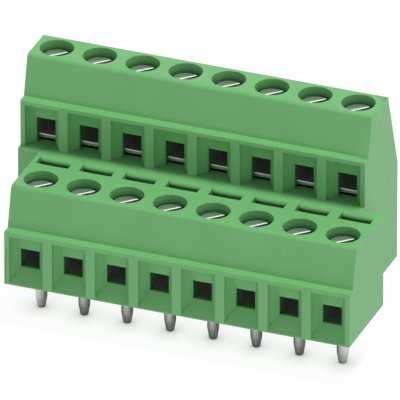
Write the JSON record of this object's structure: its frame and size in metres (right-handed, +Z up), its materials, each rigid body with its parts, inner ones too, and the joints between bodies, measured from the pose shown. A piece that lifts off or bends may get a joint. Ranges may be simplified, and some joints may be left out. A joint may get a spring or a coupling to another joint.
{
  "type": "pcb terminal block",
  "caption": "Stepped double-deck terminal block for circuit boards: slotted screws raise clamp cages behind funnel-shaped wire entries, and round solder pins stand below.",
  "frame": {"origin": "middle of the housing's underside, on the surface of the board that it stands on", "axes": "+X along the rows, -Y the side that the wires enter from, +Z up from the board"},
  "size_m": [0.0324, 0.0162, 0.0196],
  "materials": {
    "housing": "satin moulded polyamide",
    "contact": "tin plated, satin",
    "cage": "nickel plated",
    "screw": "zinc plated"
  },
  "bodies": {
    "block": {"housing": "housing", "lower_contact_1": "contact", "lower_contact_2": "contact", "lower_contact_3": "contact", "lower_contact_4": "contact", "lower_contact_5": "contact", "lower_contact_6": "contact", "lower_contact_7": "contact", "lower_contact_8": "contact", "upper_contact_1": "contact", "upper_contact_2": "contact", "upper_contact_3": "contact", "upper_contact_4": "contact", "upper_contact_5": "contact", "upper_contact_6": "contact", "upper_contact_7": "contact", "upper_contact_8": "contact"},
    "lower_screw_1": {"lower_screw_1": "screw"},
    "lower_cage_1": {"lower_cage_1": "cage"},
    "lower_screw_2": {"lower_screw_2": "screw"},
    "lower_cage_2": {"lower_cage_2": "cage"},
    "lower_screw_3": {"lower_screw_3": "screw"},
    "lower_cage_3": {"lower_cage_3": "cage"},
    "lower_screw_4": {"lower_screw_4": "screw"},
    "lower_cage_4": {"lower_cage_4": "cage"},
    "lower_screw_5": {"lower_screw_5": "screw"},
    "lower_cage_5": {"lower_cage_5": "cage"},
    "lower_screw_6": {"lower_screw_6": "screw"},
    "lower_cage_6": {"lower_cage_6": "cage"},
    "lower_screw_7": {"lower_screw_7": "screw"},
    "lower_cage_7": {"lower_cage_7": "cage"},
    "lower_screw_8": {"lower_screw_8": "screw"},
    "lower_cage_8": {"lower_cage_8": "cage"},
    "upper_screw_1": {"upper_screw_1": "screw"},
    "upper_cage_1": {"upper_cage_1": "cage"},
    "upper_screw_2": {"upper_screw_2": "screw"},
    "upper_cage_2": {"upper_cage_2": "cage"},
    "upper_screw_3": {"upper_screw_3": "screw"},
    "upper_cage_3": {"upper_cage_3": "cage"},
    "upper_screw_4": {"upper_screw_4": "screw"},
    "upper_cage_4": {"upper_cage_4": "cage"},
    "upper_screw_5": {"upper_screw_5": "screw"},
    "upper_cage_5": {"upper_cage_5": "cage"},
    "upper_screw_6": {"upper_screw_6": "screw"},
    "upper_cage_6": {"upper_cage_6": "cage"},
    "upper_screw_7": {"upper_screw_7": "screw"},
    "upper_cage_7": {"upper_cage_7": "cage"},
    "upper_screw_8": {"upper_screw_8": "screw"},
    "upper_cage_8": {"upper_cage_8": "cage"}
  },
  "joints": [
    {"name": "lower_screw_1_turn", "type": "hinge", "parent": "block", "child": "lower_screw_1", "pos_m": [-0.01238, -0.00459, 0], "axis": [0, 0, -1], "range_deg": [0, 1350]},
    {"name": "lower_cage_1_lift", "type": "slide", "parent": "block", "child": "lower_cage_1", "axis": [0, 0, 1], "range_m": [0, 0.0015]},
    {"name": "lower_screw_2_turn", "type": "hinge", "parent": "block", "child": "lower_screw_2", "pos_m": [-0.00857, -0.00459, 0], "axis": [0, 0, -1], "range_deg": [0, 1350]},
    {"name": "lower_cage_2_lift", "type": "slide", "parent": "block", "child": "lower_cage_2", "axis": [0, 0, 1], "range_m": [0, 0.0015]},
    {"name": "lower_screw_3_turn", "type": "hinge", "parent": "block", "child": "lower_screw_3", "pos_m": [-0.00476, -0.00459, 0], "axis": [0, 0, -1], "range_deg": [0, 1350]},
    {"name": "lower_cage_3_lift", "type": "slide", "parent": "block", "child": "lower_cage_3", "axis": [0, 0, 1], "range_m": [0, 0.0015]},
    {"name": "lower_screw_4_turn", "type": "hinge", "parent": "block", "child": "lower_screw_4", "pos_m": [-0.00095, -0.00459, 0], "axis": [0, 0, -1], "range_deg": [0, 1350]},
    {"name": "lower_cage_4_lift", "type": "slide", "parent": "block", "child": "lower_cage_4", "axis": [0, 0, 1], "range_m": [0, 0.0015]},
    {"name": "lower_screw_5_turn", "type": "hinge", "parent": "block", "child": "lower_screw_5", "pos_m": [0.00286, -0.00459, 0], "axis": [0, 0, -1], "range_deg": [0, 1350]},
    {"name": "lower_cage_5_lift", "type": "slide", "parent": "block", "child": "lower_cage_5", "axis": [0, 0, 1], "range_m": [0, 0.0015]},
    {"name": "lower_screw_6_turn", "type": "hinge", "parent": "block", "child": "lower_screw_6", "pos_m": [0.00667, -0.00459, 0], "axis": [0, 0, -1], "range_deg": [0, 1350]},
    {"name": "lower_cage_6_lift", "type": "slide", "parent": "block", "child": "lower_cage_6", "axis": [0, 0, 1], "range_m": [0, 0.0015]},
    {"name": "lower_screw_7_turn", "type": "hinge", "parent": "block", "child": "lower_screw_7", "pos_m": [0.01048, -0.00459, 0], "axis": [0, 0, -1], "range_deg": [0, 1350]},
    {"name": "lower_cage_7_lift", "type": "slide", "parent": "block", "child": "lower_cage_7", "axis": [0, 0, 1], "range_m": [0, 0.0015]},
    {"name": "lower_screw_8_turn", "type": "hinge", "parent": "block", "child": "lower_screw_8", "pos_m": [0.01429, -0.00459, 0], "axis": [0, 0, -1], "range_deg": [0, 1350]},
    {"name": "lower_cage_8_lift", "type": "slide", "parent": "block", "child": "lower_cage_8", "axis": [0, 0, 1], "range_m": [0, 0.0015]},
    {"name": "upper_screw_1_turn", "type": "hinge", "parent": "block", "child": "upper_screw_1", "pos_m": [-0.01429, 0.00389, 0], "axis": [0, 0, -1], "range_deg": [0, 1350]},
    {"name": "upper_cage_1_lift", "type": "slide", "parent": "block", "child": "upper_cage_1", "axis": [0, 0, 1], "range_m": [0, 0.0015]},
    {"name": "upper_screw_2_turn", "type": "hinge", "parent": "block", "child": "upper_screw_2", "pos_m": [-0.01048, 0.00389, 0], "axis": [0, 0, -1], "range_deg": [0, 1350]},
    {"name": "upper_cage_2_lift", "type": "slide", "parent": "block", "child": "upper_cage_2", "axis": [0, 0, 1], "range_m": [0, 0.0015]},
    {"name": "upper_screw_3_turn", "type": "hinge", "parent": "block", "child": "upper_screw_3", "pos_m": [-0.00667, 0.00389, 0], "axis": [0, 0, -1], "range_deg": [0, 1350]},
    {"name": "upper_cage_3_lift", "type": "slide", "parent": "block", "child": "upper_cage_3", "axis": [0, 0, 1], "range_m": [0, 0.0015]},
    {"name": "upper_screw_4_turn", "type": "hinge", "parent": "block", "child": "upper_screw_4", "pos_m": [-0.00286, 0.00389, 0], "axis": [0, 0, -1], "range_deg": [0, 1350]},
    {"name": "upper_cage_4_lift", "type": "slide", "parent": "block", "child": "upper_cage_4", "axis": [0, 0, 1], "range_m": [0, 0.0015]},
    {"name": "upper_screw_5_turn", "type": "hinge", "parent": "block", "child": "upper_screw_5", "pos_m": [0.00095, 0.00389, 0], "axis": [0, 0, -1], "range_deg": [0, 1350]},
    {"name": "upper_cage_5_lift", "type": "slide", "parent": "block", "child": "upper_cage_5", "axis": [0, 0, 1], "range_m": [0, 0.0015]},
    {"name": "upper_screw_6_turn", "type": "hinge", "parent": "block", "child": "upper_screw_6", "pos_m": [0.00476, 0.00389, 0], "axis": [0, 0, -1], "range_deg": [0, 1350]},
    {"name": "upper_cage_6_lift", "type": "slide", "parent": "block", "child": "upper_cage_6", "axis": [0, 0, 1], "range_m": [0, 0.0015]},
    {"name": "upper_screw_7_turn", "type": "hinge", "parent": "block", "child": "upper_screw_7", "pos_m": [0.00857, 0.00389, 0], "axis": [0, 0, -1], "range_deg": [0, 1350]},
    {"name": "upper_cage_7_lift", "type": "slide", "parent": "block", "child": "upper_cage_7", "axis": [0, 0, 1], "range_m": [0, 0.0015]},
    {"name": "upper_screw_8_turn", "type": "hinge", "parent": "block", "child": "upper_screw_8", "pos_m": [0.01238, 0.00389, 0], "axis": [0, 0, -1], "range_deg": [0, 1350]},
    {"name": "upper_cage_8_lift", "type": "slide", "parent": "block", "child": "upper_cage_8", "axis": [0, 0, 1], "range_m": [0, 0.0015]}
  ],
  "couplings": [
    {"joint": "lower_screw_1_turn", "follows": "lower_cage_1_lift", "rad_per_m": 15708},
    {"joint": "lower_screw_2_turn", "follows": "lower_cage_2_lift", "rad_per_m": 15708},
    {"joint": "lower_screw_3_turn", "follows": "lower_cage_3_lift", "rad_per_m": 15708},
    {"joint": "lower_screw_4_turn", "follows": "lower_cage_4_lift", "rad_per_m": 15708},
    {"joint": "lower_screw_5_turn", "follows": "lower_cage_5_lift", "rad_per_m": 15708},
    {"joint": "lower_screw_6_turn", "follows": "lower_cage_6_lift", "rad_per_m": 15708},
    {"joint": "lower_screw_7_turn", "follows": "lower_cage_7_lift", "rad_per_m": 15708},
    {"joint": "lower_screw_8_turn", "follows": "lower_cage_8_lift", "rad_per_m": 15708},
    {"joint": "upper_screw_1_turn", "follows": "upper_cage_1_lift", "rad_per_m": 15708},
    {"joint": "upper_screw_2_turn", "follows": "upper_cage_2_lift", "rad_per_m": 15708},
    {"joint": "upper_screw_3_turn", "follows": "upper_cage_3_lift", "rad_per_m": 15708},
    {"joint": "upper_screw_4_turn", "follows": "upper_cage_4_lift", "rad_per_m": 15708},
    {"joint": "upper_screw_5_turn", "follows": "upper_cage_5_lift", "rad_per_m": 15708},
    {"joint": "upper_screw_6_turn", "follows": "upper_cage_6_lift", "rad_per_m": 15708},
    {"joint": "upper_screw_7_turn", "follows": "upper_cage_7_lift", "rad_per_m": 15708},
    {"joint": "upper_screw_8_turn", "follows": "upper_cage_8_lift", "rad_per_m": 15708}
  ]
}
